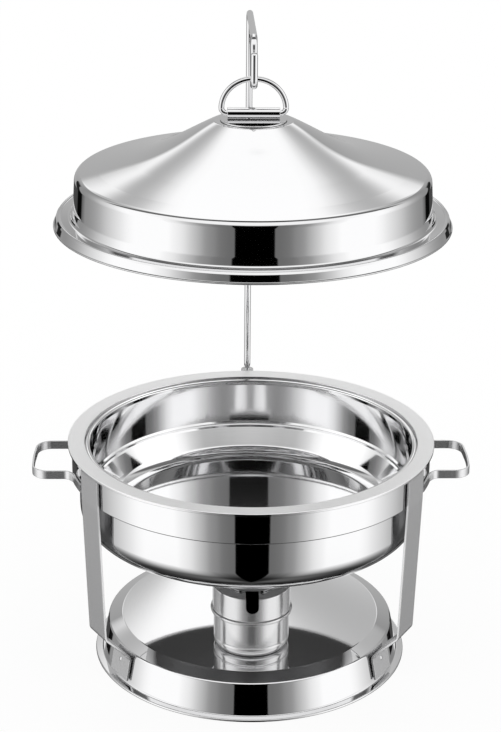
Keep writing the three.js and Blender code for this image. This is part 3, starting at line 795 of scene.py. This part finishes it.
fold = damper_low.y - burner_y
tab_half = 6.7
tab_steps = 9
least_tab_end = 0.4
tongue_path = rounded([
    (-fold, damper_low.z, 0),
    (-fold, damper_high.z, 1.9),
    (disc_radius - 3, damper_high.z, 0),
])
tongue = []
for k in range(tab_steps):
    rise = tab_half * (1 - math.cos(math.pi / 2 * k / tab_steps))
    half = math.sqrt(max(tab_half ** 2 - (tab_half - rise) ** 2, least_tab_end))
    tongue.append((Vector((-fold, damper_low.z + rise)), Vector((1, 0)), half))
tongue.append((Vector((-fold, damper_low.z + tab_half)), Vector((1, 0)), tab_half))
tongue += [(point, normal, tab_half) for point, normal in tongue_path[1:]]
rings = [
    [((point.y, -(at.x + out.x * point.x), at.y + out.y * point.x),
      (normal.y, -out.x * normal.x, out.y * normal.x))
     for point, normal in flat_bar(damper_sheet, 2 * half, 0.25)]
    for at, out, half in tongue
]
lofted("burner_damper_tongue", rings, burner_steel, "damper", ["burner_damper"],
       Matrix.Translation((0, burner_y, -0.02)))

# ---------------------------------------------------------------------------------------
# Damper rivet
# A small turned rivet with a domed head. It pins the damper to the collar's top, and the damper
# swings on it.
# ---------------------------------------------------------------------------------------
pivot_low, pivot_high = box_mm("damper_rivet")
pivot_y = (pivot_low.y + pivot_high.y) / 2
shank, head = 2, 3.6
head_foot = pivot_low.z + 1.5
turned("damper_rivet_head", rounded([
    (0, pivot_low.z, 0), (shank, pivot_low.z, 0.2), (shank, head_foot, 0.1),
    (head, head_foot, 0.2), (head - 0.3, pivot_high.z - 0.5, 0.8), (1.6, pivot_high.z, 1.5),
    (0, pivot_high.z, 0),
]), mirror_steel, "collar", ["damper_rivet"], centre=(0, pivot_y, 0), sides=small_sides)


# ---------------------------------------------------------------------------------------
# Lid shell
# Spun from 1 mm sheet and mirror-polished: a flat crown, an ogee slope, a tight shoulder, a
# short wall and a stepped flange that ends in a rolled edge.
# ---------------------------------------------------------------------------------------
def bezier(a, b, c, d, steps):
    """Points and outward normals along a cubic curve, drawn anticlockwise."""
    a, b, c, d = (Vector(p) for p in (a, b, c, d))
    curve = []
    for k in range(steps + 1):
        t = k / steps
        s = 1 - t
        at = a * s ** 3 + b * 3 * s * s * t + c * 3 * s * t * t + d * t ** 3
        along = ((b - a) * s * s + (c - b) * 2 * s * t + (d - c) * t * t).normalized()
        curve.append((at, Vector((along.y, -along.x))))
    return curve


lid_low, lid_high = box_mm("lid_shell")
edge = lid_low.z
crown = lid_high.z
lid_radius = (lid_high.x - lid_low.x) / 2
lid_sheet = 1
ledge = edge + 11
wall_bottom, wall_top = 183.1, 181
shoulder = crown - 53.2
slope_foot, slope_foot_height = 158, crown - 48.2
mid_slope = (123.5, crown - 40)
crown_edge = 41.5
stud_hole = 3
flange = rounded([
    (lid_radius - 1.6, edge + 0.5, 0),
    (lid_radius - 0.5, edge + 0.5, 0.5),
    (lid_radius - 0.2, edge + 1.7, 0.6),
    (lid_radius - 1.5, edge + 2.6, 0.8),
    (lid_radius - 3.4, ledge - 1.6, 2),
    (lid_radius - 5.5, ledge + 1.3, 1.4),
    (lid_radius - 8, ledge - 0.6, 1.5),
    (wall_bottom + 2.9, ledge - 0.2, 4),
    (wall_bottom, ledge + 9, 8),
    (wall_top, shoulder, 8),
    (slope_foot, slope_foot_height, 60),
    (mid_slope[0] + 1, mid_slope[1] - 0.3, 0),
])
ogee = bezier(mid_slope, (92.5, crown - 30.7), (66.5, crown - 12),
              (crown_edge, crown - 0.25), 28)
cap = rounded([(crown_edge - 0.1, crown - 0.2, 0), (39, crown, 5), (stud_hole, crown, 0)])
turned("lid_shell_spinning", shell(flange[:-1] + ogee + cap[1:], lid_sheet),
       mirror_steel, "lid", ["lid_shell"], sides=224)

# ---------------------------------------------------------------------------------------
# Lid fittings
# A round plate on the crown carries the hinge tube. A stud, a washer and a nut inside the lid
# hold both of them.
# ---------------------------------------------------------------------------------------
plate_low, plate_high = box_mm("lid_plate")
plate_radius = (plate_high.x - plate_low.x) / 2
turned("lid_plate_disc", rounded([
    (0, plate_low.z, 0), (plate_radius, plate_low.z, 0.2),
    (plate_radius, plate_high.z, 0.8), (0, plate_high.z, 0),
]), mirror_steel, "lid", ["lid_plate"])

tube_low, tube_high = box_mm("ring_tube")
tube_height = (tube_low.z + tube_high.z) / 2
tube_half = tube_high.x
tube_bore, tube_outside = 3.3, 5.5
turned("ring_tube_barrel", rounded([
    (tube_bore, -tube_half, 0.25), (tube_outside, -tube_half, 0.5),
    (tube_outside, tube_half, 0.5), (tube_bore, tube_half, 0.25),
], closed=True), mirror_steel, "lid", ["ring_tube"], centre=(0, None, tube_height), sides=64,
    place=Matrix.Rotation(math.pi / 2, 4, "Y"))

stud_low, stud_high = box_mm("lid_stud")
stud_radius = 2
turned("lid_stud_end", rounded([
    (0, stud_low.z, 0), (stud_radius, stud_low.z, 0.6), (stud_radius, stud_high.z, 0.1),
    (0, stud_high.z, 0),
]), burner_steel, "lid", ["lid_stud"], sides=32)
washer_low, washer_high = box_mm("lid_washer")
washer_bore, washer_outside = 2.3, 7
turned("lid_washer_ring", rounded([
    (washer_bore, washer_low.z, 0.15), (washer_outside, washer_low.z, 0.3),
    (washer_outside, washer_high.z, 0.15), (washer_bore, washer_high.z, 0.1),
], closed=True), burner_steel, "lid", ["lid_washer"], sides=48)
nut_low, nut_high = box_mm("lid_nut")
nut_radius = 4
hexagon = [(nut_radius * math.cos(math.radians(degrees)),
            nut_radius * math.sin(math.radians(degrees)), 0.25)
           for degrees in range(30, 390, 60)]
prism("lid_nut_hexagon", rounded(hexagon, closed=True), nut_low.z, nut_high.z, 0.35,
      burner_steel, "lid", ["lid_nut"], dish_centre)


# ---------------------------------------------------------------------------------------
# D-ring
# Polished round wire bent to a D. Its two ends meet inside the hinge tube, so it swings on the
# lid and hangs over the hook.
# ---------------------------------------------------------------------------------------
def round_bar(radius, count=24):
    """Outline of a round wire."""
    return [
        (Vector((math.cos(a), math.sin(a))) * radius, Vector((math.cos(a), math.sin(a))))
        for a in (2 * math.pi * k / count for k in range(count))
    ]


ring_low, ring_high = box_mm("d_ring")
flats_allowance = 1.05  # the CAD wire has flats, so its box is a little thinner
ring_wire = (ring_high.y - ring_low.y) / 2 * flats_allowance
ring_half = ring_high.x - ring_wire
ring_corner = 5
end_gap_half = 1.5
arch_steps = 48
corner_height = tube_height + ring_corner
ring_rise = ring_high.z - ring_wire - corner_height
bottom = rounded([
    (end_gap_half, tube_height, 0), (ring_half, tube_height, ring_corner),
    (ring_half, corner_height, 0),
])
arch = []
for k in range(1, arch_steps):
    angle = math.pi * k / arch_steps
    c, s = math.cos(angle), math.sin(angle)
    arch.append((Vector((ring_half * c, corner_height + ring_rise * s)),
                 Vector((ring_rise * c, ring_half * s)).normalized()))
left_bottom = [(Vector((-p.x, p.y)), Vector((-n.x, n.y))) for p, n in reversed(bottom)]
swept("d_ring_wire", bottom + arch + left_bottom, round_bar(ring_wire), mirror_steel, "ring",
      ["d_ring"], dish_centre @ upright)

# ---------------------------------------------------------------------------------------
# Hanger rod
# One polished 7 mm rod: a thin pin turns in the socket, the arm climbs a little forward, and
# the end drops into an open hook with a blunt rounded prong.
# ---------------------------------------------------------------------------------------
rod_low, rod_high = box_mm("hanger_rod")
rod_y = rod_high.y - rod_radius - centre_y / MM
throat = 8.4
arm_rise = 0.6
arm_bend = 11
hook_play = 0.3
prong_length = 34.6
tip_length = 3
pin_length = 44
arm_height = rod_high.z + arm_rise - rod_radius
saddle = ring_high.z - 2 * ring_wire - hook_play - rod_radius
shoulder_height = rod_low.z + pin_length
rod_path = rounded([
    (rod_y, shoulder_height + 3, 0),
    (rod_y, arm_height - 12.6, arm_bend),
    (throat, arm_height, arm_bend),
    (throat, saddle, throat - 0.01),
    (-throat, saddle, throat - 0.01),
    (-throat, saddle + prong_length - tip_length, 0),
])
# Each line is a height from that end of the path, a share of the rod's radius, and a lean of
# the surface.
pin = [(-47, 0.62, 0), (-46.4, 0.69, 0), (-8, 0.69, 0), (-6.5, 0.72, -0.5), (-4.6, 0.9, -0.5),
       (-3.2, 0.985, -0.5)]
tip = [(1.2, 0.94, 0.5), (2.2, 0.78, 0.9), (2.8, 0.52, 1.6), (3, 0.2, 3)]
first_at, first_out = rod_path[0]
last_at, last_out = rod_path[-1]
cuts = [(first_at + Vector((0, rise)), first_out, share, lean) for rise, share, lean in pin]
cuts += [(at, out, 1, 0) for at, out in rod_path]
cuts += [(last_at + Vector((0, rise)), last_out, share, lean) for rise, share, lean in tip]
rings = []
for at, out, share, lean in cuts:
    ring = []
    for point, normal in round_bar(rod_radius):
        spot = at + out * point.x * share
        facing = Vector((normal.y, out.x * normal.x, out.y * normal.x + lean)).normalized()
        ring.append(((point.y * share, spot.x, spot.y), facing))
    rings.append(ring)
lofted("hanger_rod_bar", rings, mirror_steel, "hanger", ["hanger_rod"],
       dish_centre)

# ---------------------------------------------------------------------------------------
# Sizes
# The outside size of this dish, over all its shown parts. The CAD dish's size was taken before
# the build.
# ---------------------------------------------------------------------------------------
low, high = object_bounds()
